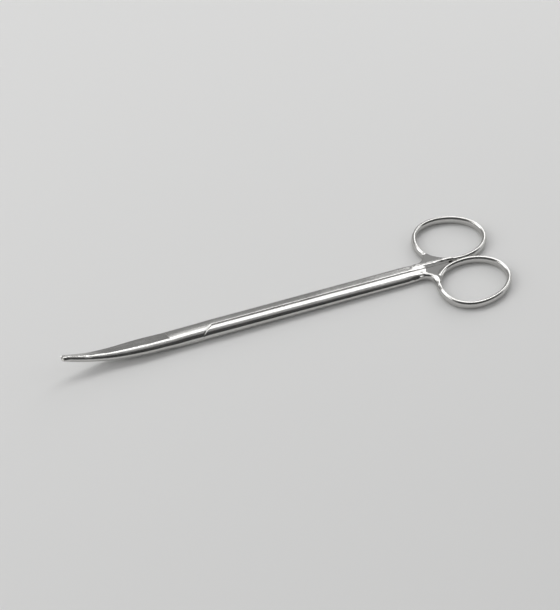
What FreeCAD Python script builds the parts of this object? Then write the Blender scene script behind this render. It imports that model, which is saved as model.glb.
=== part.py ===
import FreeCAD, Part
import math
import os

# Curved dissecting scissors, lying closed on a table. Millimetres.
# The origin is on the pivot axis, at the level of the table. +X runs towards the finger rings, +Z is up.
# The upper half has the ring at +Y and the blade on top; the lower half has the ring at -Y.

# Reach from the pivot axis
blade_reach = 51.5
tip_overhang = 0.6
shank_reach = 108.5

# Oval section of the closed pair: width and thickness at the joint, blades and shanks
joint_width = 8.2
joint_thickness = 5.0
blade_end_width = 2.5
blade_end_thickness = 2.7
blade_taper_start = 14.0
blade_taper_end = 58.0
shank_width_front = 8.35
shank_width_rear = 8.85
shank_thickness_rear = 3.8
shank_taper_start = 12.0
shank_taper_end = 100.0
oval_power = 2.6

# The shank ends run out into the webs
runout_width = 7.0
runout_thickness = 1.9

# Shear surface, turned about the pivot axis: a flat disc, a cone and then an arc
lap_flat_radius = 6.0
blade_slope = 0.06
slope_blend_radius = 60.0
curve_start_radius = 28.0
blade_curve_radius = 68.0
shear_gap = 0.05

# Lap joint
shank_gap = 0.14
seam_clearance = 0.08
seam_back = 10.3
seam_middle = (7.65, 1.75)
seam_edge = (5.1, 5.3)
seam_round = 0.22

# Ground flat round the screw head on the underside
flat_depth = 0.36
flat_front = -7.0
flat_back = 9.0
resting_cut = 0.03

# Facets ground on the outer faces of the blades
facet_start_edge = 8.9
facet_start_crest = 7.6
facet_crest_offset = -1.1
facet_crest_offset_tip = -0.1
facet_crest_share = 0.4
edge_land = 0.6
edge_land_tip = 0.45

# Blunt tips
tip_nose_offset = 0.25
tip_nose_depth = 1.35
tip_half_width = 2.3

# Hollow ground inner faces
hollow_margin = 0.7
hollow_depth = 0.2
hollow_start = 11.0
hollow_end = 44.0

# Pivot screw, head down
screw_shaft_radius = 1.4
screw_head_radius = 2.1
screw_head_height = 1.0
screw_head_recess = 0.05
screw_running_clearance = 0.03
screw_head_clearance = 0.06
screw_slot_width = 0.5
screw_slot_depth = 0.5
screw_slot_turn = 35.0

# Finger rings: middle line of the wire, seen from above
ring_x = 122.1
ring_y = 12.85
ring_half_length = 15.35
ring_half_width = 12.05
ring_turn = -6.0
ring_egg = -0.07
ring_power = 2.1
wire_half_width = 1.05
wire_half_height = 1.88
wire_power = 2.4
horn_radius = 1.02

# Where each rim starts and leaves the ring, as turns about its centre, and its line from there into the shank
far_horn_turn = 209.0
far_neck_turn = -110.0
far_neck = [(109.5, 1.75), (104.0, 2.0), (99.0, 2.1)]
near_horn_turn = -138.0
near_neck_turn = 196.0
near_neck = [(107.0, 6.6), (105.2, 3.9), (102.2, 2.6), (98.0, 2.2)]

# Webs between shank and ring: levels, and plan points from inside the shank round to the rim
web_bottom = 0.8
web_top = 3.1
web_front = (97.0, 3.3)
web_corner = (104.2, 4.17)
web_bend = (106.0, 5.4)
web_outer = (106.9, 8.6)
web_rim = (108.6, 10.2)
web_inner = (116.0, 8.0)

V = FreeCAD.Vector
joint_middle = joint_thickness / 2

# Reach of the blocks that cut or keep, well beyond the part
far_reach = 160.0
far_side = 60.0
far_level = 40.0
tip_margin = 3.0

# Points round a section and sections along a loft or sweep
section_points = 12
envelope_stations = 32
facet_stations = 8
hollow_stations = 10
ring_stations = 15


def blend(start, end, share):
    """A smooth step from start to end as share goes from 0 to 1."""
    share = min(max(share, 0.0), 1.0)
    return start + (end - start) * (1 - math.cos(math.pi * share)) / 2


def mix(start, end, share):
    """A straight change from start to end as share goes from 0 to 1."""
    return start + (end - start) * min(max(share, 0.0), 1.0)


def pair_width(x):
    """Width of the closed pair."""
    if x < 0:
        return blend(joint_width, blade_end_width, (-x - blade_taper_start) / (blade_taper_end - blade_taper_start))
    if x < shank_taper_start:
        return mix(joint_width, shank_width_front, x / shank_taper_start)
    along = (x - shank_taper_start) / (shank_taper_end - shank_taper_start)
    full = mix(shank_width_front, shank_width_rear, along)
    return blend(full, runout_width, (x - shank_taper_end) / (shank_reach - shank_taper_end))


def pair_thickness(x):
    """Thickness of the closed pair."""
    if x < 0:
        share = -x / blade_reach
        return joint_thickness + (blade_end_thickness - joint_thickness) * share ** 1.25
    along = (x - shank_taper_start) / (shank_taper_end - shank_taper_start)
    full = mix(joint_thickness, shank_thickness_rear, along)
    return blend(full, runout_thickness, (x - shank_taper_end) / (shank_reach - shank_taper_end))


def shear_profile():
    """Radius and height of the shear surface's knots: flat end, cone start, cone end, tangents and arc ends."""
    angle = math.atan(blade_slope)
    cone_start = lap_flat_radius + slope_blend_radius * math.sin(angle)
    cone_start_z = joint_middle + slope_blend_radius * (1 - math.cos(angle))
    cone_end = curve_start_radius
    cone_end_z = cone_start_z + (cone_end - cone_start) * blade_slope
    return angle, cone_start, cone_start_z, cone_end, cone_end_z


def arc_point(centre_r, centre_z, radius, angle):
    """The point of a rising arc where its slope is at this angle."""
    return V(centre_r + radius * math.sin(angle), 0, centre_z - radius * math.cos(angle))


def shear_edges(lift):
    """The shear surface's profile in the XZ plane, raised by lift."""
    angle, cone_start, cone_start_z, cone_end, cone_end_z = shear_profile()
    first = (lap_flat_radius, joint_middle + slope_blend_radius + lift, slope_blend_radius)
    centre_r = cone_end - blade_curve_radius * math.sin(angle)
    centre_z = cone_end_z + blade_curve_radius * math.cos(angle) + lift
    last_angle = math.asin((blade_reach + 2 * tip_margin - centre_r) / blade_curve_radius)
    flat_end = V(lap_flat_radius, 0, joint_middle + lift)
    blend_end = V(cone_start, 0, cone_start_z + lift)
    curve_start = V(cone_end, 0, cone_end_z + lift)
    blend_mid = arc_point(first[0], first[1], first[2], angle / 2)
    curve_mid = arc_point(centre_r, centre_z, blade_curve_radius, (angle + last_angle) / 2)
    curve_end = arc_point(centre_r, centre_z, blade_curve_radius, last_angle)
    return [
        Part.LineSegment(V(0, 0, joint_middle + lift), flat_end).toShape(),
        Part.Arc(flat_end, blend_mid, blend_end).toShape(),
        Part.LineSegment(blend_end, curve_start).toShape(),
        Part.Arc(curve_start, curve_mid, curve_end).toShape(),
    ], curve_end


def shear_height(radius):
    """Height of the shear surface at this distance from the pivot axis."""
    angle, cone_start, cone_start_z, cone_end, cone_end_z = shear_profile()
    if radius <= lap_flat_radius:
        return joint_middle
    if radius <= cone_start:
        run = radius - lap_flat_radius
        return joint_middle + slope_blend_radius - math.sqrt(slope_blend_radius ** 2 - run ** 2)
    if radius <= cone_end:
        return cone_start_z + (radius - cone_start) * blade_slope
    run = radius - (cone_end - blade_curve_radius * math.sin(angle))
    centre_z = cone_end_z + blade_curve_radius * math.cos(angle)
    return centre_z - math.sqrt(blade_curve_radius ** 2 - run ** 2)


def middle_height(x):
    """Height of the middle of the pair's section: on the shear surface in front, level underside behind."""
    if x < 0:
        return shear_height(-x)
    return pair_thickness(x) / 2 - resting_cut if x > shank_taper_start else joint_middle


def oval(centre, across, half_width, half_height, power):
    """A closed oval standing on its end, its width along across, starting at its underside."""
    points = []
    for i in range(section_points):
        turn = 2 * math.pi * i / section_points - math.pi / 2
        c = math.cos(turn)
        s = math.sin(turn)
        out = half_width * math.copysign(abs(c) ** (2 / power), c)
        rise = half_height * math.copysign(abs(s) ** (2 / power), s)
        points.append(centre + across * out + V(0, 0, rise))
    curve = Part.BSplineCurve()
    curve.interpolate(Points=points, PeriodicFlag=True)
    return Part.Wire([curve.toShape()])


def prism(points, bottom, top):
    """A straight-sided block over a plan outline."""
    corners = [V(x, y, bottom) for x, y in points]
    return Part.Face(Part.makePolygon(corners + corners[:1])).extrude(V(0, 0, top - bottom))


def middle_of_runout(x):
    """Height of the section's middle where the shank runs out into the web."""
    return blend(shank_thickness_rear / 2 - resting_cut, (web_top + web_bottom) / 2,
                 (x - shank_taper_end) / (shank_reach - shank_taper_end))


def ground_depth(x):
    """How much deeper the section is where the flat round the screw head is ground off it."""
    if not flat_front < x < flat_back:
        return 0.0
    return flat_depth * math.sin(math.pi * (x - flat_front) / (flat_back - flat_front))


def envelope():
    """The closed pair's outer form from beyond the tips to the ends of the shanks."""
    front = -blade_reach - tip_margin
    sections = []
    for i in range(envelope_stations + 1):
        x = front + (shank_reach - front) * i / envelope_stations
        deeper = ground_depth(x)
        middle = middle_of_runout(x) if x > shank_taper_end else middle_height(x)
        centre = V(x, 0, middle - deeper / 2)
        half_height = (pair_thickness(x) + deeper) / 2
        sections.append(oval(centre, V(0, 1, 0), pair_width(x) / 2, half_height, oval_power))
    body = Part.makeLoft(sections, True, False)
    above_table = Part.makeBox(2 * far_reach, 2 * far_side, far_level, V(-far_reach, -far_side, 0))
    return body.common(above_table)


def turned_about_pivot(lift, to_height):
    """All that lies between the shear surface and a level plane."""
    edges, end = shear_edges(lift)
    outer = V(end.x, 0, to_height)
    inner = V(0, 0, to_height)
    edges.append(Part.LineSegment(end, outer).toShape())
    edges.append(Part.LineSegment(outer, inner).toShape())
    edges.append(Part.LineSegment(inner, V(0, 0, joint_middle + lift)).toShape())
    face = Part.Face(Part.Wire(edges))
    return face.revolve(V(0, 0, 0), V(0, 0, 1), 360)


def seam_outline(side, shift, inner_y):
    """Plan outline of one shank's side behind the curved shoulder; side is +1 or -1 in Y."""
    edge = V(seam_edge[0] + shift, side * seam_edge[1], -far_level)
    middle = V(seam_middle[0] + shift, side * seam_middle[1], -far_level)
    back = V(seam_back + shift, 0, -far_level)
    corners = [
        back,
        V(back.x, inner_y, -far_level),
        V(far_reach, inner_y, -far_level),
        V(far_reach, side * far_side, -far_level),
        V(edge.x, side * far_side, -far_level),
        edge,
    ]
    edges = [Part.Arc(edge, middle, back).toShape()]
    return edges + [Part.LineSegment(a, b).toShape() for a, b in zip(corners, corners[1:])]


def seam_block(side, shift, inner_y):
    """The full-height block of one shank's side."""
    return Part.Face(Part.Wire(seam_outline(side, shift, inner_y))).extrude(V(0, 0, 2 * far_level))


def facet_cutter(side):
    """The metal ground off one blade's outer face, from the crest to the land over its cutting edge."""
    sections = []
    first = facet_start_crest - 1.0
    last = blade_reach + tip_margin + 1.0
    for i in range(facet_stations + 1):
        d = mix(first, last, i / facet_stations)
        share = d / blade_reach
        half_width = pair_width(-d) / 2
        half_height = pair_thickness(-d) / 2
        middle = shear_height(d)
        crest = mix(facet_crest_offset, facet_crest_offset_tip, (share - facet_crest_share) / (1 - facet_crest_share))
        slope = (mix(edge_land, edge_land_tip, share) - half_height) / (half_width - crest)
        out = half_width + 1.5
        low = half_height + slope * (out - crest)
        above = half_height + 4
        corners = [(crest, half_height), (out, low), (out, above), (crest, above)]
        wire = [V(-d, side * y, middle + side * z) for y, z in corners]
        sections.append(Part.makePolygon(wire + wire[:1]))
    body = Part.makeLoft(sections, True, False)
    start = prism([(-facet_start_crest, -side * 4.0), (-facet_start_crest - 0.25, side * facet_crest_offset),
                   (-facet_start_edge, side * 5.0), (-far_side, side * 6.0), (-far_side, -side * 4.0)],
                  -far_level, far_level)
    return body.common(start)


def beyond_tip(reach):
    """What is cut away beyond a blunt, slightly one-sided tip."""
    nose = V(-reach, tip_nose_offset, -far_level)
    near = V(-reach + tip_nose_depth, -tip_half_width, -far_level)
    far = V(-reach + 0.8 * tip_nose_depth, tip_half_width, -far_level)
    corners = [far, V(-far_side, far_side, -far_level), V(-far_side, -far_side, -far_level), near]
    edges = [Part.Arc(near, nose, far).toShape()]
    edges += [Part.LineSegment(a, b).toShape() for a, b in zip(corners, corners[1:])]
    return Part.Face(Part.Wire(edges)).extrude(V(0, 0, 2 * far_level))


def hollow_cutter(side):
    """The shallow hollow ground along the inner face of one blade."""
    sections = []
    for i in range(hollow_stations + 1):
        share = i / hollow_stations
        d = hollow_start + (hollow_end - hollow_start) * share
        depth = hollow_depth * math.sin(math.pi * (0.06 + 0.88 * share)) ** 0.5
        half = pair_width(-d) / 2 - hollow_margin
        middle = shear_height(d)
        left = V(-d, -half, middle)
        right = V(-d, half, middle)
        crown = V(-d, 0, middle + side * depth)
        down = V(0, 0, -side * 2.0)
        corners = [right, right + down, left + down, left]
        edges = [Part.Arc(left, crown, right).toShape()]
        edges += [Part.LineSegment(a, b).toShape() for a, b in zip(corners, corners[1:])]
        sections.append(Part.Wire(edges))
    return Part.makeLoft(sections, True, False)


def ring_point(u, inset=0.0):
    """A point of the +Y ring's middle line, or of a line inset from it."""
    c = math.cos(u)
    s = math.sin(u)
    ex = (ring_half_length - inset) * math.copysign(abs(c) ** (2 / ring_power), c)
    ey = (ring_half_width - inset) * math.copysign(abs(s) ** (2 / ring_power), s) * (1 + ring_egg * c)
    turn = math.radians(ring_turn)
    x = ring_x + ex * math.cos(turn) - ey * math.sin(turn)
    y = ring_y + ex * math.sin(turn) + ey * math.cos(turn)
    return x, y


def finger_hole(side):
    """A solid that fills the ring's opening, out to the rim's inner side."""
    points = []
    for i in range(2 * section_points):
        x, y = ring_point(math.pi * i / section_points, wire_half_width)
        points.append(V(x, side * y, web_bottom - 1))
    curve = Part.BSplineCurve()
    curve.interpolate(Points=points, PeriodicFlag=True)
    return Part.Face(Part.Wire([curve.toShape()])).extrude(V(0, 0, web_top - web_bottom + 2))


def rim(side, first_turn, last_turn, neck):
    """The raised rim in one sweep, from its rounded horn round the ring and along a neck into the shank."""
    turns = [first_turn + (last_turn - first_turn) * i / ring_stations for i in range(ring_stations + 1)]
    plan = [ring_point(math.radians(turn)) for turn in turns] + neck
    path = Part.BSplineCurve()
    path.interpolate(Points=[V(x, side * y, wire_half_height) for x, y in plan])
    start = path.FirstParameter
    ahead = path.tangent(start)[0]
    section = oval(path.value(start), V(-ahead.y, ahead.x, 0), wire_half_width, wire_half_height, wire_power)
    wire = Part.Wire([path.toShape()]).makePipeShell([section], True, False)
    centre_at = path.parameterAtDistance(horn_radius, start)
    centre = path.value(centre_at)
    ahead = path.tangent(centre_at)[0] * (2 * horn_radius)
    across = V(-ahead.y, ahead.x, 0)
    corners = [centre + across, centre - across, centre - across - ahead, centre + across - ahead]
    beyond = prism([(corner.x, corner.y) for corner in corners], -1, 2 * wire_half_height + 1)
    nose = Part.makeCylinder(horn_radius, 2 * wire_half_height + 4, V(centre.x, centre.y, -2))
    return wire.cut(beyond.cut(nose))


def web(side):
    """The flat web that joins shank and ring, open at the finger hole. It starts inside the shank."""
    def corner(point):
        return V(point[0], side * point[1], web_bottom)

    outline = [corner(point) for point in (web_corner, web_front, (web_front[0], 0), (web_inner[0], 0),
                                           web_inner, web_rim, web_outer)]
    edges = [Part.LineSegment(a, b).toShape() for a, b in zip(outline, outline[1:])]
    edges.append(Part.Arc(outline[-1], corner(web_bend), outline[0]).toShape())
    plate = Part.Face(Part.Wire(edges)).extrude(V(0, 0, web_top - web_bottom))
    return plate.cut(finger_hole(side))


def screw():
    """Slotted screw, head down, its end ground flush with the top of the joint."""
    base = screw_head_recess
    shoulder = screw_head_height
    head = Part.makeCylinder(screw_head_radius, shoulder - base, V(0, 0, base))
    shaft = Part.makeCylinder(screw_shaft_radius, joint_thickness + 2, V(0, 0, shoulder))
    slot = Part.makeBox(2 * screw_head_radius + 2, screw_slot_width, screw_slot_depth + 1,
                        V(-screw_head_radius - 1, -screw_slot_width / 2, base - 1))
    slot.rotate(V(0, 0, 0), V(0, 0, 1), screw_slot_turn)
    return head.fuse(shaft).cut(slot)


def long_seam_edges(shape, plane_y):
    """The long edges where a shank's flat inner side meets its oval outside."""
    found = []
    for edge in shape.Edges:
        box = edge.BoundBox
        level = abs(box.YMin - plane_y) < 0.01 and abs(box.YMax - plane_y) < 0.01
        if level and box.XLength > 30 and box.ZMax > joint_middle:
            found.append(edge)
    return found


def build():
    pair = envelope()
    below = turned_about_pivot(shear_gap / 2, -10)
    above = turned_about_pivot(-shear_gap / 2, far_level)
    half_gap = shank_gap / 2

    far_keep = seam_block(1, seam_clearance, -6.0)
    near_keep = seam_block(-1, seam_clearance, 6.0)
    far_cut = seam_block(1, 0.0, -half_gap)
    near_cut = seam_block(-1, 0.0, half_gap)

    upper = pair.cut(below.cut(far_keep)).cut(near_cut)
    lower = pair.cut(above.cut(near_keep)).cut(far_cut)
    upper = upper.cut(facet_cutter(1)).cut(hollow_cutter(1)).cut(beyond_tip(blade_reach))
    lower = lower.cut(facet_cutter(-1)).cut(hollow_cutter(-1)).cut(beyond_tip(blade_reach + tip_overhang))
    upper = upper.makeFillet(seam_round, long_seam_edges(upper, half_gap))
    lower = lower.makeFillet(seam_round, long_seam_edges(lower, -half_gap))

    far_side_pieces = [rim(1, far_horn_turn, far_neck_turn, far_neck), web(1)]
    near_side_pieces = [rim(-1, near_horn_turn, near_neck_turn, near_neck), web(-1)]
    upper = upper.fuse([piece.cut(near_cut) for piece in far_side_pieces])
    lower = lower.fuse([piece.cut(far_cut) for piece in near_side_pieces])

    shaft_hole = Part.makeCylinder(screw_shaft_radius, 12, V(0, 0, -1))
    shaft_room = Part.makeCylinder(screw_shaft_radius + screw_running_clearance, 12, V(0, 0, -1))
    head_room = Part.makeCylinder(screw_head_radius + screw_head_clearance,
                                  1 + screw_head_height + shear_gap, V(0, 0, -1))
    lower = lower.cut(shaft_room.fuse(head_room))
    upper = upper.cut(shaft_hole)
    pivot = screw().common(pair)

    for name, solid in (("upper_half", upper), ("lower_half", lower), ("pivot_screw", pivot)):
        print(name, solid.isValid(), len(solid.Solids), round(solid.Volume, 2), len(solid.Faces))
        solid.exportStep("parts/" + name + ".step")


os.makedirs("parts", exist_ok=True)
build()
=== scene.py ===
import math

import bmesh
import bpy
import numpy as np
from mathutils import Matrix, Vector
from mathutils.kdtree import KDTree


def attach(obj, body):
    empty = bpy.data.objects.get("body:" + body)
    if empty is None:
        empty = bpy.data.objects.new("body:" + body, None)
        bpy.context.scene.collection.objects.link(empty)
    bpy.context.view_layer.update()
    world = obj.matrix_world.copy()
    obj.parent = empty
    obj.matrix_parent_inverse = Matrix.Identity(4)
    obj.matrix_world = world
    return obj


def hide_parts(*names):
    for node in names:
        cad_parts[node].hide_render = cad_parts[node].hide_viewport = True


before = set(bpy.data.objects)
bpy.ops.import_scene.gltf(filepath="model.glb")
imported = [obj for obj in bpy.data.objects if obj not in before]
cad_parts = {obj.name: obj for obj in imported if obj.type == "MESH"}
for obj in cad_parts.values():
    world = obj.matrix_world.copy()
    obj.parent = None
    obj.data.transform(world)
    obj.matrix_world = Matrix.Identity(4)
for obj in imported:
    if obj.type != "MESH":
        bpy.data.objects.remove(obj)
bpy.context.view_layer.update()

MM = 0.001

# Camera: direction seen from the object, place in mm and lens
CAMERA_AZIMUTH = -19.854
CAMERA_ELEVATION = 48.935
CAMERA_ROLL = -0.217
CAMERA_PLACE = (-89.47, -357.96, 442.18)
CAMERA_LENS = 83.17
CAMERA_SENSOR = 36.0

# Outer form of the closed pair in mm, as it is ground
BLADE_REACH = 51.5
JOINT_WIDTH = 8.2
JOINT_THICKNESS = 5.0
BLADE_END_WIDTH = 2.5
BLADE_END_THICKNESS = 2.7
BLADE_TAPER = (14.0, 58.0)
BLADE_THINNING = 1.25
SHANK_TAPER = (12.0, 100.0)
SHANK_WIDTH = (8.35, 8.85)
SHANK_THICKNESS_REAR = 3.8
SHANK_SUNK = 0.03
OVAL_POWER = 2.6
OUTSIDE_FROM = -49.0
OUTSIDE_TO = 95.5
GROUND_DEPTH = 0.36
GROUND_SPAN = (-7.0, 9.0)

# Shear surface in mm: flat disc, cone and arc about the pivot axis
LAP_FLAT_RADIUS = 6.0
BLADE_SLOPE = 0.06
CURVE_START = 28.0
BLADE_CURVE_RADIUS = 68.0

# Facets on the outer faces of the blades, in mm
FACET_START = 7.4
FACET_CREST = (-1.1, -0.1)
FACET_CREST_SHARE = 0.4

# Finger rings in mm: middle line of the rim from above, the rim's oval section and its span in degrees
RING_CENTRE = (122.1, 12.85)
RING_HALF_LENGTH = 15.35
RING_HALF_WIDTH = 12.05
RING_TURN = -6.0
RING_EGG = -0.07
RING_POWER = 2.1
WIRE_HALF_WIDTH = 1.05
WIRE_HALF_HEIGHT = 1.88
WIRE_POWER = 2.4
FAR_WIRE_SPAN = (-98.0, 203.0)
NEAR_WIRE_SPAN = (-132.0, 183.0)
RING_STEPS = 1440
TANGENT_STEP = 12

# The seam on top in mm: its curved shoulder, its end, and how wide and deep its edges are broken
SEAM_SHOULDER = ((5.1, -5.3), (7.65, -1.75), (10.3, 0.0))
SHOULDER_STEPS = 120
SEAM_END = 104.0
SEAM_STEP = 0.05
SEAM_GAP = 0.04
SEAM_EDGE_WIDTH = 0.5
SEAM_EDGE_DEPTH = 0.17
SEAM_ABOVE_MIDDLE = 0.4
SEAM_RUNOUT = 6.0

# The webs' blasted finish and painted shade: where it starts and the webs' level in mm, how level it lies,
# the darker tone painted on as shade, and the roughness of the blasted finish
WEB_FROM = 101.5
WEB_RUNOUT = 3.0
WEB_MIDDLE = 1.95
WEB_HALF_THICKNESS = 1.3
WEB_LEVEL_FACING = (0.86, 0.97)
# Painted shade: multiplied into the webs' steel colour to darken them; it is not the steel's own tone
WEB_PAINTED_SHADE = (0.34, 0.34, 0.34)
WEB_ROUGHNESS = 0.26

# How finely a half is divided, in mm
EDGE_LIMIT = 0.55
WELD = 0.03
DIVIDE_ROUNDS = 8

# How near the oval outside a point lies, in mm, and how well it faces that way, to be put on it
SNAP_REACH = 0.16
SNAP_FADE = 0.06
EDGE_SNAP_REACH = 0.08
SNAP_COSINE = 0.93
ENDWAYS_LIMIT = 0.5
LEAST_HEIGHT = 0.08
SLOPE_STEP = 0.2

# The same for the rims of the rings
RING_SNAP_REACH = 0.35
RING_SNAP_FADE = 0.1
RING_SNAP_COSINE = 0.8
RING_CLOSE = 0.15
RING_OFF_SEAM = 0.35

# Which edges stay sharp, where a facet's crest runs, and which hollow corners are blended, in mm
CREASE_ANGLE = math.radians(30)
CREST_ANGLE = math.radians(6)
CREST_REACH = 0.45
CREST_MARGIN = 0.03
VALLEY_ANGLE = math.radians(8)
JUNCTION_FROM = 97.0
JUNCTION_TO = 113.0
JUNCTION_ABOVE = 1.0
JUNCTION_OFF_SEAM = 0.3
SMOOTH_RIM_FROM = 112.5
SMOOTH_RIM_OFF_SEAM = 2.5
FACET_BLEND = (-11.0, -6.9)

# Rounds of smoothing, and how far a point goes towards its neighbours in one round
SOFT_ROUNDS = 2
SOFT_SPREAD = 0.75
BLEND_ROUNDS = 16
EVEN_ROUNDS = 4
ROUND_SHARE = 0.6
POLISH_ROUNDS = 14
POLISH_IN = 0.50
POLISH_OUT = -0.52

# Reflections: rounds of evening, how fast a neighbour counts less with the bend, and what is one surface
SHINE_ROUNDS = 20
SHINE_FALLOFF = 0.10
RIM_FALLOFF = 0.45
RIM_FROM = 97.0
SHINE_COSINE = 0.80
WEB_NORMAL = 0.9995
LEAST_WEIGHT = 0.02
MOST_FACES_AT_POINT = 14

# Steel: dark and light tone, roughness from and to, and the grain's scale along X, Y and Z
SATIN_STEEL = ((0.54, 0.535, 0.52), (0.66, 0.655, 0.64), (0.17, 0.27), (60.0, 1800.0, 1800.0))
TURNED_STEEL = ((0.54, 0.535, 0.52), (0.66, 0.655, 0.64), (0.18, 0.28), (900.0, 900.0, 200.0))
TONE_RANGE = (0.3, 0.7)
GRAIN_DETAIL = 5.0
CLOUD_SCALE = 140.0
CLOUD_DETAIL = 3.0
GRAIN_SHARE = 0.5
GRAIN_BUMP = 0.12
GRAIN_DEPTH = 0.03

# Floor, and a dark card in front that only shows in the steel: size and place in m
FLOOR_SIZE = 12.0
FLOOR_COLOUR = (0.74, 0.74, 0.735)
FLOOR_ROUGHNESS = 0.8
CARD_SIZE = (2.4, 1.15)
CARD_PLACE = (0.2, -0.54, 0.50)
CARD_TILT = math.radians(52)
CARD_COLOUR = (0.07, 0.07, 0.07)
CARD_ROUGHNESS = 0.9
STAGE_SPECULAR = 0.1

# Soft lamps in m: place, target, direction of the width, width, depth and radiance
SOFTBOXES = {
    "strip_softbox": ((-0.15, 0.50, 1.0), (0.0, 0.0, 0.0), (1, 0, 0), 1.7, 0.36, 2.3),
    "blade_softbox": ((0.75, 0.56, 0.62), (-0.03, 0.0, 0.0), (0.5, 0.0, -0.6), 0.8, 0.36, 1.9),
    "ring_softbox": ((0.75, 0.95, 0.38), (0.12, 0.0, 0.0), (0.8, -0.5, 0.0), 0.5, 0.45, 2.0),
    "left_softbox": ((-0.98, 0.22, 0.70), (0.06, 0.0, 0.0), (0, 1, 0), 1.2, 0.8, 1.6),
    "right_softbox": ((1.25, -0.15, 0.65), (0.06, 0.0, 0.0), (0, 1, 0), 0.8, 0.7, 1.2),
}
SKY_LOW = 0.28
SKY_HIGH = 0.36
SKY_HIGH_FROM = 0.8


def mix(start, end, share):
    return start + (end - start) * share


def superellipse_push(out, rise, half_width, half_height, power):
    """For points of a section: how far they lie outside the oval, and the outward direction there."""
    u = np.abs(out) / half_width
    v = np.abs(rise) / half_height
    value = (u ** power + v ** power) ** (1 / power)
    grow = value ** (1 - power)
    slope_out = np.sign(out) * u ** (power - 1) * grow / half_width
    slope_rise = np.sign(rise) * v ** (power - 1) * grow / half_height
    steep = np.sqrt(slope_out ** 2 + slope_rise ** 2) + 1e-9
    return (value - 1) / steep, slope_out / steep, slope_rise / steep


def shear_height(radius):
    """Height of the shear surface at these distances from the pivot axis."""
    rise = JOINT_THICKNESS / 2 + np.maximum(radius - LAP_FLAT_RADIUS, 0.0) * BLADE_SLOPE
    angle = math.atan(BLADE_SLOPE)
    run = np.maximum(radius - CURVE_START, 0.0) + BLADE_CURVE_RADIUS * math.sin(angle)
    level = BLADE_CURVE_RADIUS * math.cos(angle) - np.sqrt(BLADE_CURVE_RADIUS ** 2 - run ** 2)
    curved = JOINT_THICKNESS / 2 + (CURVE_START - LAP_FLAT_RADIUS) * BLADE_SLOPE + level
    return np.where(radius > CURVE_START, curved, rise)


def outside_form(x):
    """Half width, half height and middle of the closed pair's oval section at these stations."""
    front = x < 0
    taper = np.clip((-x - BLADE_TAPER[0]) / (BLADE_TAPER[1] - BLADE_TAPER[0]), 0, 1)
    blade_width = mix(JOINT_WIDTH, BLADE_END_WIDTH, (1 - np.cos(math.pi * taper)) / 2)
    share = (x - SHANK_TAPER[0]) / (SHANK_TAPER[1] - SHANK_TAPER[0])
    front_width = mix(JOINT_WIDTH, SHANK_WIDTH[0], x / SHANK_TAPER[0])
    shank_width = np.where(share < 0, front_width, mix(*SHANK_WIDTH, share))
    reach = np.clip(-x / BLADE_REACH, 0, 1)
    blade_thickness = mix(JOINT_THICKNESS, BLADE_END_THICKNESS, reach ** BLADE_THINNING)
    shank_thickness = mix(JOINT_THICKNESS, SHANK_THICKNESS_REAR, np.maximum(share, 0))
    inside = (x > GROUND_SPAN[0]) & (x < GROUND_SPAN[1])
    ground = (x - GROUND_SPAN[0]) / (GROUND_SPAN[1] - GROUND_SPAN[0])
    deeper = GROUND_DEPTH * np.sin(math.pi * ground) * inside
    width = np.where(front, blade_width, shank_width)
    thickness = np.where(front, blade_thickness, shank_thickness)
    behind = np.where(x > SHANK_TAPER[0], thickness / 2 - SHANK_SUNK, JOINT_THICKNESS / 2)
    middle = np.where(front, shear_height(-x), behind)
    return width / 2, (thickness + deeper) / 2, middle - deeper / 2


def crest_offset(x):
    """Where the crest of a facet is designed to run, from the blade's middle line."""
    share = np.clip((-x / BLADE_REACH - FACET_CREST_SHARE) / (1 - FACET_CREST_SHARE), 0, 1)
    return mix(*FACET_CREST, share)


def on_facet(points, side, crest):
    """Which points lie in the part of a blade that is ground flat, given points of the crest."""
    x = points[:, 0]
    order = np.argsort(crest[:, 0])
    offset = np.interp(x, crest[order, 0], side * crest[order, 1])
    return (x < -FACET_START) & (side * points[:, 1] > offset - CREST_MARGIN)


def outside_gap(points, step=0.0):
    """How far points lie outside the pair's oval, a step further along, and the outward direction."""
    half_width, half_height, middle = outside_form(points[:, 0] + step)
    return superellipse_push(points[:, 1], points[:, 2] - middle, half_width, half_height, OVAL_POWER)


def outside_targets(points, normals, side, on_edge, crest):
    """Which points lie on the pair's oval outside, and how far each has to move on to it."""
    x = points[:, 0]
    gap, out_y, out_z = outside_gap(points)
    facing = normals[:, 1] * out_y + normals[:, 2] * out_z
    facing /= np.sqrt(normals[:, 1] ** 2 + normals[:, 2] ** 2) + 1e-9
    on_it = (np.abs(gap) < SNAP_REACH) & (facing > SNAP_COSINE) & ~on_edge
    on_it &= np.abs(normals[:, 0]) < ENDWAYS_LIMIT
    on_it |= on_edge & (np.abs(gap) < EDGE_SNAP_REACH)
    on_it &= (x > OUTSIDE_FROM) & (x < OUTSIDE_TO) & (points[:, 2] > LEAST_HEIGHT)
    on_it &= ~on_facet(points, side, crest)
    pull = gap * np.clip((SNAP_REACH - np.abs(gap)) / SNAP_FADE, 0, 1)
    shift = np.zeros_like(points)
    shift[:, 1] = -pull * out_y
    shift[:, 2] = -pull * out_z
    return on_it, shift


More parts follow.
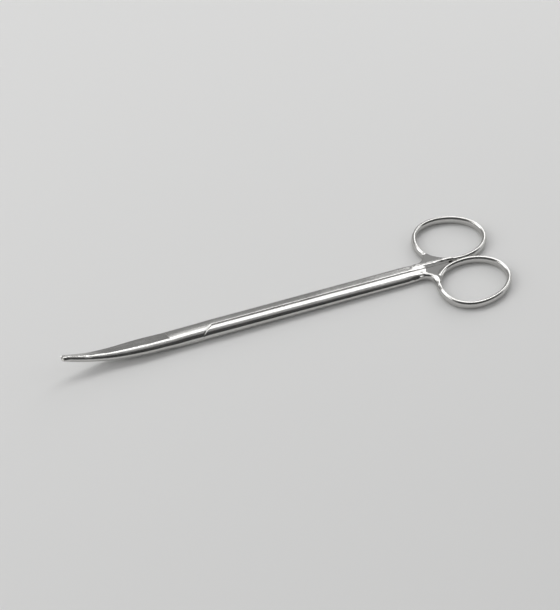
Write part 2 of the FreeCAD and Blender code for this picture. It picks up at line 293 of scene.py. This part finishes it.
def seam_line():
    """Points of the seam on top: the joint's curved shoulder, then the straight part between the shanks."""
    (x0, y0), (x1, y1), (x2, y2) = SEAM_SHOULDER
    spread = 2 * (x0 * (y1 - y2) + x1 * (y2 - y0) + x2 * (y0 - y1))
    squares = [x * x + y * y for x, y in SEAM_SHOULDER]
    cx = (squares[0] * (y1 - y2) + squares[1] * (y2 - y0) + squares[2] * (y0 - y1)) / spread
    cy = (squares[0] * (x2 - x1) + squares[1] * (x0 - x2) + squares[2] * (x1 - x0)) / spread
    radius = math.hypot(x0 - cx, y0 - cy)
    turns = np.linspace(math.atan2(y0 - cy, x0 - cx), math.atan2(y2 - cy, x2 - cx), SHOULDER_STEPS)
    shoulder = np.stack([cx + radius * np.cos(turns), cy + radius * np.sin(turns)], axis=1)
    along = np.arange(x2, SEAM_END, SEAM_STEP)
    return np.concatenate([shoulder, np.stack([along, np.zeros_like(along)], axis=1)])


def broken_seam(points):
    """How far the polishing wheel takes down the edges of the seam on top, and the slope that leaves."""
    line = seam_line()
    near = nearest(line, points)
    away = points[:, :2] - line[near]
    distance = np.linalg.norm(away, axis=1)
    from_edge = np.maximum(distance - SEAM_GAP, 0.0)
    _, _, middle = outside_form(points[:, 0])
    inside = (from_edge < SEAM_EDGE_WIDTH) & (points[:, 0] < SEAM_END)
    inside &= points[:, 2] > middle + SEAM_ABOVE_MIDDLE
    left = np.clip(1 - from_edge / SEAM_EDGE_WIDTH, 0, 1) * inside
    end = np.clip((SEAM_END - points[:, 0]) / SEAM_RUNOUT, 0, 1)
    drop = SEAM_EDGE_DEPTH * left ** 2 * end
    slope = -2 * SEAM_EDGE_DEPTH / SEAM_EDGE_WIDTH * left * end
    return drop, slope[:, None] * away / (distance[:, None] + 1e-9)


def ring_line(side):
    """Points of one ring's middle line, its direction there, and whether the rim runs there."""
    u = np.linspace(0, 2 * math.pi, RING_STEPS, endpoint=False)
    c = np.cos(u)
    s = np.sin(u)
    power = 2 / RING_POWER
    ex = RING_HALF_LENGTH * np.sign(c) * np.abs(c) ** power
    ey = RING_HALF_WIDTH * np.sign(s) * np.abs(s) ** power * (1 + RING_EGG * c)
    turn = math.radians(RING_TURN)
    x = RING_CENTRE[0] + ex * math.cos(turn) - ey * math.sin(turn)
    y = RING_CENTRE[1] + ex * math.sin(turn) + ey * math.cos(turn)
    line = np.stack([x, side * y], axis=1)
    turns = np.degrees(u)
    low, high = FAR_WIRE_SPAN if side > 0 else NEAR_WIRE_SPAN
    covered = (turns < high) | (turns > 360 + low)
    ahead = np.roll(line, -TANGENT_STEP, axis=0) - np.roll(line, TANGENT_STEP, axis=0)
    ahead /= np.linalg.norm(ahead, axis=1)[:, None]
    return line, ahead, covered


def nearest(line, points):
    """Index of the line's point that is nearest to each point, seen from above."""
    tree = KDTree(len(line))
    for i, (x, y) in enumerate(line):
        tree.insert((x, y, 0), i)
    tree.balance()
    return np.array([tree.find((x, y, 0))[1] for x, y in points[:, :2]])


def ring_section(points, side):
    """How far points lie outside a rim's oval, the outward direction, and whether the rim runs there."""
    line, ahead, covered = ring_line(side)
    near = nearest(line, points)
    across = np.stack([-ahead[near, 1], ahead[near, 0]], axis=1)
    out = np.sum((points[:, :2] - line[near]) * across, axis=1)
    rise = points[:, 2] - WIRE_HALF_HEIGHT
    gap, slope_out, slope_rise = superellipse_push(out, rise, WIRE_HALF_WIDTH, WIRE_HALF_HEIGHT, WIRE_POWER)
    outward = np.concatenate([slope_out[:, None] * across, slope_rise[:, None]], axis=1)
    return gap, outward, covered[near]


def ring_targets(points, normals, side):
    """Which points lie on the ring's rim, and how far each has to move on to its oval."""
    gap, outward, covered = ring_section(points, side)
    facing = np.sum(normals * outward, axis=1)
    on_it = covered & (np.abs(gap) < RING_SNAP_REACH) & (facing > RING_SNAP_COSINE)
    on_it &= side * points[:, 1] > RING_OFF_SEAM
    pull = gap * np.clip((RING_SNAP_REACH - np.abs(gap)) / RING_SNAP_FADE, 0, 1)
    return on_it, -pull[:, None] * outward


def divided(source):
    """A welded copy of a node's mesh with no edge over the limit."""
    bm = bmesh.new()
    bm.from_mesh(source)
    bmesh.ops.remove_doubles(bm, verts=bm.verts, dist=WELD * MM)
    bmesh.ops.dissolve_degenerate(bm, edges=bm.edges, dist=WELD * MM)
    limit = EDGE_LIMIT * MM
    for _ in range(DIVIDE_ROUNDS):
        edges = [edge for edge in bm.edges if edge.calc_length() > limit]
        if not edges:
            break
        bmesh.ops.subdivide_edges(bm, edges=edges, cuts=1)
        bmesh.ops.triangulate(bm, faces=[face for face in bm.faces if len(face.verts) > 3])
    bmesh.ops.triangulate(bm, faces=bm.faces)
    return bm


def gathered(index, values, count):
    """Sum of the rows that belong to each index."""
    return np.stack([np.bincount(index, column, count) for column in values.T], axis=1)


def averages(points, pairs, counts):
    """The middle of each point's neighbours."""
    total = gathered(pairs[:, 0], points[pairs[:, 1]], len(points))
    total += gathered(pairs[:, 1], points[pairs[:, 0]], len(points))
    return total / counts[:, None]


def outside_normals(points, slopes):
    """Normals of the pair's oval outside at these points, with the slopes of its broken edges."""
    before = outside_gap(points, -SLOPE_STEP)[0]
    after = outside_gap(points, SLOPE_STEP)[0]
    _, out_y, out_z = outside_gap(points)
    normals = np.stack([(after - before) / (2 * SLOPE_STEP), out_y, out_z], axis=1)
    normals[:, :2] += slopes * out_z[:, None]
    return normals / np.linalg.norm(normals, axis=1)[:, None]


def even_shine(mesh, held, true_normals, creases):
    """Corner normals: true ones on the ground forms, elsewhere drawn evenly from the faces around."""
    faces = len(mesh.polygons)
    normals = np.empty(faces * 3)
    centres = np.empty(faces * 3)
    areas = np.empty(faces)
    corners = np.empty(faces * 3, dtype=int)
    sides = np.empty(faces * 3, dtype=int)
    mesh.polygons.foreach_get("normal", normals)
    mesh.polygons.foreach_get("center", centres)
    mesh.polygons.foreach_get("area", areas)
    mesh.loops.foreach_get("vertex_index", corners)
    mesh.loops.foreach_get("edge_index", sides)
    normals = normals.reshape(-1, 3)
    weights = (areas / areas.mean())[:, None] + LEAST_WEIGHT
    of_face = true_normals[corners].reshape(-1, 3, 3).mean(axis=1)
    kept = held[corners].reshape(-1, 3).all(axis=1) & (np.sum(of_face * normals, axis=1) > SHINE_COSINE)
    normals[kept] = of_face[kept] / np.linalg.norm(of_face[kept], axis=1)[:, None]
    order = np.argsort(sides, kind="stable")
    same = sides[order][1:] == sides[order][:-1]
    one = order[:-1][same] // 3
    other = order[1:][same] // 3
    crossed = ~creases[sides[order][1:][same]]
    falloff = np.where(centres[0::3][one] > RIM_FROM * MM, RIM_FALLOFF, SHINE_FALLOFF)
    for _ in range(SHINE_ROUNDS):
        bend = 1 - np.sum(normals[one] * normals[other], axis=1)
        share = (np.exp(-bend / falloff) * crossed)[:, None]
        total = normals * weights
        total += gathered(one, normals[other] * weights[other] * share, faces)
        total += gathered(other, normals[one] * weights[one] * share, faces)
        total /= np.linalg.norm(total, axis=1)[:, None] + 1e-12
        normals[~kept] = total[~kept]
    order = np.argsort(corners, kind="stable")
    face = order // 3
    result = (normals * weights)[face]
    for step in range(1, MOST_FACES_AT_POINT):
        near = corners[order][step:] == corners[order][:-step]
        near &= np.sum(normals[face[step:]] * normals[face[:-step]], axis=1) > SHINE_COSINE
        low = np.flatnonzero(near)
        high = low + step
        result[low] += (normals * weights)[face[high]]
        result[high] += (normals * weights)[face[low]]
    result /= np.linalg.norm(result, axis=1)[:, None] + 1e-12
    shine = np.empty_like(result)
    shine[order] = result
    at_point = true_normals[corners]
    true_here = held[corners] & (np.sum(shine * at_point, axis=1) > SHINE_COSINE)
    shine[true_here] = at_point[true_here]
    mesh.normals_split_custom_set(shine.tolist())


def soften(points, pairs, counts, valley, fixed):
    """Blends the hollow corners at these edges, and says how much each point took part."""
    soft = np.zeros(len(points))
    soft[pairs[valley].ravel()] = 1.0
    for _ in range(SOFT_ROUNDS):
        spread = np.maximum(soft[pairs[:, 0]], soft[pairs[:, 1]]) * SOFT_SPREAD
        np.maximum.at(soft, pairs[:, 0], spread)
        np.maximum.at(soft, pairs[:, 1], spread)
    soft[fixed] = 0.0
    for _ in range(BLEND_ROUNDS):
        points += (averages(points, pairs, counts) - points) * (ROUND_SHARE * soft)[:, None]
    return soft


def polished(node, name, side):
    """A finely divided, polished copy of one half of the scissors."""
    bm = divided(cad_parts[node].data)
    bm.verts.ensure_lookup_table()
    bm.normal_update()
    points = np.array([vert.co for vert in bm.verts]) / MM
    normals = np.array([vert.normal for vert in bm.verts])
    pairs = np.array([[edge.verts[0].index, edge.verts[1].index] for edge in bm.edges])
    bend = np.array([edge.calc_face_angle_signed(0.0) for edge in bm.edges])
    counts = np.bincount(pairs.ravel(), minlength=len(points)).astype(float)

    # Sharp edges and crests are held, hollow corners are blended
    x, y, z = ((points[pairs[:, 0]] + points[pairs[:, 1]]) / 2).T
    in_junction = (x > JUNCTION_FROM) & (x < JUNCTION_TO) & (z > JUNCTION_ABOVE)
    in_junction &= np.abs(y) > JUNCTION_OFF_SEAM
    at_facet = (x > FACET_BLEND[0]) & (x < FACET_BLEND[1]) & (bend < 0)
    in_junction |= at_facet & (side * y > FACET_CREST[0])
    on_rim = (x > SMOOTH_RIM_FROM) & (np.abs(y) > SMOOTH_RIM_OFF_SEAM)
    sharp = (np.abs(bend) > CREASE_ANGLE) & ~on_rim & ~in_junction
    on_crest = (x < -FACET_START) & (bend > CREST_ANGLE) & (np.abs(side * y - crest_offset(x)) < CREST_REACH)
    crest = points[np.unique(pairs[on_crest])]
    fixed = np.zeros(len(points), dtype=bool)
    fixed[pairs[sharp | on_crest].ravel()] = True
    on_ring, to_ring = ring_targets(points, normals, side)
    close = on_ring & (np.linalg.norm(to_ring, axis=1) < RING_CLOSE)
    valley = in_junction & (bend < -VALLEY_ANGLE) & ~close[pairs].all(axis=1)
    soft = soften(points, pairs, counts, valley, fixed)

    # Points near the ground forms are put on them and spread evenly
    on_form, to_form = outside_targets(points, normals, side, fixed, crest)
    on_ring, to_ring = ring_targets(points, normals, side)
    on_form &= soft == 0
    on_ring &= ~fixed & (soft == 0)
    points[on_form] += to_form[on_form]
    points[on_ring] += to_ring[on_ring]
    form_now = on_form & ~fixed
    for _ in range(EVEN_ROUNDS):
        even = (averages(points, pairs, counts) - points) * ROUND_SHARE
        points[form_now | on_ring] += even[form_now | on_ring]
        _, to_form = outside_targets(points, normals, side, fixed, crest)
        _, to_ring = ring_targets(points, normals, side)
        points[form_now] += to_form[form_now]
        points[on_ring] += to_ring[on_ring]

    # The rest is smoothed without shrinking, and the seam's edges are broken
    free = (~fixed & ~on_form & ~on_ring).astype(float)
    for _ in range(POLISH_ROUNDS):
        for share in (POLISH_IN, POLISH_OUT):
            points += (averages(points, pairs, counts) - points) * (share * free)[:, None]
    drop, slopes = broken_seam(points)
    points[:, 2] -= drop

    true_normals = outside_normals(points + np.outer(drop, (0, 0, 1)), slopes)
    true_normals[on_ring] = ring_section(points[on_ring], side)[1]
    on_web = (np.abs(normals[:, 2]) > WEB_NORMAL) & (points[:, 0] > RIM_FROM)
    on_web &= np.abs(points[:, 2] - WEB_MIDDLE) < WEB_HALF_THICKNESS
    true_normals[on_web] = np.outer(np.sign(normals[on_web, 2]), (0, 0, 1))
    for vert, place in zip(bm.verts, points):
        vert.co = Vector(place) * MM
    mesh = bpy.data.meshes.new(name)
    bm.to_mesh(mesh)
    bm.free()
    mesh.shade_smooth()
    even_shine(mesh, on_form | on_ring | on_web, true_normals, on_crest)
    piece = bpy.data.objects.new(name, mesh)
    bpy.context.scene.collection.objects.link(piece)
    return piece


def node_link(tree, source, output, target, socket):
    tree.links.new(source.outputs[output], target.inputs[socket])


def web_mask(tree, place):
    """1 on the flat top and underside of the webs, which get a rougher blasted finish and a darker tone
    painted on as shade, and 0 elsewhere.
    """
    split = tree.nodes.new("ShaderNodeSeparateXYZ")
    node_link(tree, place, "Object", split, "Vector")
    along = tree.nodes.new("ShaderNodeMapRange")
    along.interpolation_type = "SMOOTHSTEP"
    along.inputs["From Min"].default_value = WEB_FROM * MM
    along.inputs["From Max"].default_value = (WEB_FROM + WEB_RUNOUT) * MM
    node_link(tree, split, "X", along, "Value")
    level = tree.nodes.new("ShaderNodeMath")
    level.operation = "COMPARE"
    level.inputs[1].default_value = WEB_MIDDLE * MM
    level.inputs[2].default_value = WEB_HALF_THICKNESS * MM
    node_link(tree, split, "Z", level, 0)
    both = tree.nodes.new("ShaderNodeMath")
    both.operation = "MULTIPLY"
    node_link(tree, along, "Result", both, 0)
    node_link(tree, level, "Value", both, 1)
    surface = tree.nodes.new("ShaderNodeNewGeometry")
    facing = tree.nodes.new("ShaderNodeSeparateXYZ")
    node_link(tree, surface, "Normal", facing, "Vector")
    upright = tree.nodes.new("ShaderNodeMath")
    upright.operation = "ABSOLUTE"
    node_link(tree, facing, "Z", upright, 0)
    flat = tree.nodes.new("ShaderNodeMapRange")
    flat.interpolation_type = "SMOOTHSTEP"
    flat.inputs["From Min"].default_value = WEB_LEVEL_FACING[0]
    flat.inputs["From Max"].default_value = WEB_LEVEL_FACING[1]
    node_link(tree, upright, "Value", flat, "Value")
    mask = tree.nodes.new("ShaderNodeMath")
    mask.operation = "MULTIPLY"
    node_link(tree, both, "Value", mask, 0)
    node_link(tree, flat, "Result", mask, 1)
    return mask


def steel(name, dark, light, roughness, grain):
    """Stainless steel with a fine satin grain that runs along the shanks, and hairline scratches; the webs
    get a rougher blasted finish and a painted shade that darkens their tone.
    """
    material = bpy.data.materials.new(name)
    material.use_nodes = True
    tree = material.node_tree
    shader = tree.nodes["Principled BSDF"]
    shader.inputs["Metallic"].default_value = 1.0
    place = tree.nodes.new("ShaderNodeTexCoord")
    stretch = tree.nodes.new("ShaderNodeMapping")
    stretch.inputs["Scale"].default_value = grain
    node_link(tree, place, "Object", stretch, "Vector")
    lines = tree.nodes.new("ShaderNodeTexNoise")
    lines.inputs["Scale"].default_value = 1.0
    lines.inputs["Detail"].default_value = GRAIN_DETAIL
    node_link(tree, stretch, "Vector", lines, "Vector")
    cloud = tree.nodes.new("ShaderNodeTexNoise")
    cloud.inputs["Scale"].default_value = CLOUD_SCALE
    cloud.inputs["Detail"].default_value = CLOUD_DETAIL
    node_link(tree, place, "Object", cloud, "Vector")
    both = tree.nodes.new("ShaderNodeMath")
    both.operation = "MULTIPLY_ADD"
    both.inputs[1].default_value = GRAIN_SHARE
    node_link(tree, lines, "Fac", both, 0)
    half = tree.nodes.new("ShaderNodeMath")
    half.operation = "MULTIPLY"
    half.inputs[1].default_value = 1 - GRAIN_SHARE
    node_link(tree, cloud, "Fac", half, 0)
    node_link(tree, half, "Value", both, 2)
    tint = tree.nodes.new("ShaderNodeValToRGB")
    tint.color_ramp.elements[0].position = TONE_RANGE[0]
    tint.color_ramp.elements[0].color = (*dark, 1.0)
    tint.color_ramp.elements[1].position = TONE_RANGE[1]
    tint.color_ramp.elements[1].color = (*light, 1.0)
    node_link(tree, both, "Value", tint, "Fac")
    web = web_mask(tree, place)
    # The webs' colour is multiplied down here as painted shade; the roughness added below is the real
    # blasted finish
    painted_web_shade = tree.nodes.new("ShaderNodeMix")
    painted_web_shade.data_type = "RGBA"
    painted_web_shade.blend_type = "MULTIPLY"
    painted_web_shade.inputs[7].default_value = (*WEB_PAINTED_SHADE, 1.0)
    node_link(tree, web, "Value", painted_web_shade, 0)
    node_link(tree, tint, "Color", painted_web_shade, 6)
    node_link(tree, painted_web_shade, 2, shader, "Base Color")
    gloss = tree.nodes.new("ShaderNodeMapRange")
    gloss.inputs["From Min"].default_value = TONE_RANGE[0]
    gloss.inputs["From Max"].default_value = TONE_RANGE[1]
    gloss.inputs["To Min"].default_value = roughness[0]
    gloss.inputs["To Max"].default_value = roughness[1]
    node_link(tree, both, "Value", gloss, "Value")
    rough = tree.nodes.new("ShaderNodeMath")
    rough.operation = "MULTIPLY_ADD"
    rough.inputs[1].default_value = WEB_ROUGHNESS
    node_link(tree, web, "Value", rough, 0)
    node_link(tree, gloss, "Result", rough, 2)
    node_link(tree, rough, "Value", shader, "Roughness")
    bump = tree.nodes.new("ShaderNodeBump")
    bump.inputs["Strength"].default_value = GRAIN_BUMP
    bump.inputs["Distance"].default_value = GRAIN_DEPTH * MM
    node_link(tree, lines, "Fac", bump, "Height")
    node_link(tree, bump, "Normal", shader, "Normal")
    return material


def camera_axes():
    """Right, up and backward directions of the camera."""
    azimuth = math.radians(CAMERA_AZIMUTH)
    elevation = math.radians(CAMERA_ELEVATION)
    back = Vector((
        math.sin(azimuth) * math.cos(elevation),
        -math.cos(azimuth) * math.cos(elevation),
        math.sin(elevation),
    ))
    level_right = Vector((math.cos(azimuth), math.sin(azimuth), 0.0))
    level_up = back.cross(level_right)
    roll = math.radians(CAMERA_ROLL)
    right = level_right * math.cos(roll) + level_up * math.sin(roll)
    return right, back.cross(right), back


def make_camera():
    data = bpy.data.cameras.new("camera")
    data.lens = CAMERA_LENS
    data.sensor_width = CAMERA_SENSOR
    data.clip_start = 0.01
    data.clip_end = 50.0
    camera = bpy.data.objects.new("camera", data)
    bpy.context.scene.collection.objects.link(camera)
    turn = Matrix(camera_axes()).transposed().to_4x4()
    camera.matrix_world = Matrix.Translation(Vector(CAMERA_PLACE) * MM) @ turn
    bpy.context.scene.camera = camera


def stage_plane(name, width, depth, colour, roughness):
    mesh = bpy.data.meshes.new(name)
    w = width / 2
    d = depth / 2
    mesh.from_pydata([(-w, -d, 0), (w, -d, 0), (w, d, 0), (-w, d, 0)], [], [(0, 1, 2, 3)])
    material = bpy.data.materials.new(name)
    material.use_nodes = True
    shader = material.node_tree.nodes["Principled BSDF"]
    shader.inputs["Base Color"].default_value = (*colour, 1.0)
    shader.inputs["Roughness"].default_value = roughness
    shader.inputs["Specular IOR Level"].default_value = STAGE_SPECULAR
    mesh.materials.append(material)
    plane = bpy.data.objects.new(name, mesh)
    bpy.context.scene.collection.objects.link(plane)
    return plane


def make_stage():
    stage_plane("floor", FLOOR_SIZE, FLOOR_SIZE, FLOOR_COLOUR, FLOOR_ROUGHNESS)
    card = stage_plane("dark_card", *CARD_SIZE, CARD_COLOUR, CARD_ROUGHNESS)
    card.location = CARD_PLACE
    card.rotation_euler = (CARD_TILT, 0, 0)
    card.visible_camera = False
    card.visible_shadow = False
    card.visible_diffuse = False


def area_light(name, place, target, along, width, depth, radiance):
    """A soft lamp that faces the target, with its width along the given direction."""
    data = bpy.data.lights.new(name, "AREA")
    data.shape = "RECTANGLE"
    data.size = width
    data.size_y = depth
    data.energy = radiance * math.pi * width * depth
    lamp = bpy.data.objects.new(name, data)
    bpy.context.scene.collection.objects.link(lamp)
    back = (Vector(place) - Vector(target)).normalized()
    up = back.cross(Vector(along)).normalized()
    turn = Matrix((up.cross(back), up, back)).transposed().to_4x4()
    lamp.matrix_world = Matrix.Translation(Vector(place)) @ turn
    return lamp


def make_light():
    for name, (place, target, along, width, depth, radiance) in SOFTBOXES.items():
        area_light(name, place, target, along, width, depth, radiance)
    world = bpy.data.worlds.new("studio")
    bpy.context.scene.world = world
    world.use_nodes = True
    tree = world.node_tree
    background = tree.nodes["Background"]
    place = tree.nodes.new("ShaderNodeTexCoord")
    split = tree.nodes.new("ShaderNodeSeparateXYZ")
    node_link(tree, place, "Generated", split, "Vector")
    ramp = tree.nodes.new("ShaderNodeValToRGB")
    ramp.color_ramp.elements[0].position = 0.0
    ramp.color_ramp.elements[0].color = (SKY_LOW, SKY_LOW, SKY_LOW, 1.0)
    ramp.color_ramp.elements[1].position = SKY_HIGH_FROM
    ramp.color_ramp.elements[1].color = (SKY_HIGH, SKY_HIGH, SKY_HIGH, 1.0)
    node_link(tree, split, "Z", ramp, "Fac")
    node_link(tree, ramp, "Color", background, "Color")


def dress():
    halves = steel("satin_steel", *SATIN_STEEL)
    turned = steel("turned_steel", *TURNED_STEEL)
    for node, name, side, body in (("upper_half", "upper_polished", 1, "upper_body"),
                                   ("lower_half", "lower_polished", -1, "lower_body")):
        piece = polished(node, name, side)
        piece.data.materials.clear()
        piece.data.materials.append(halves)
        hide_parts(node)
        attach(piece, body)
    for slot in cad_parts["pivot_screw"].material_slots:
        slot.material = turned


make_camera()
make_stage()
make_light()
dress()
bpy.context.scene.view_settings.view_transform = "Standard"
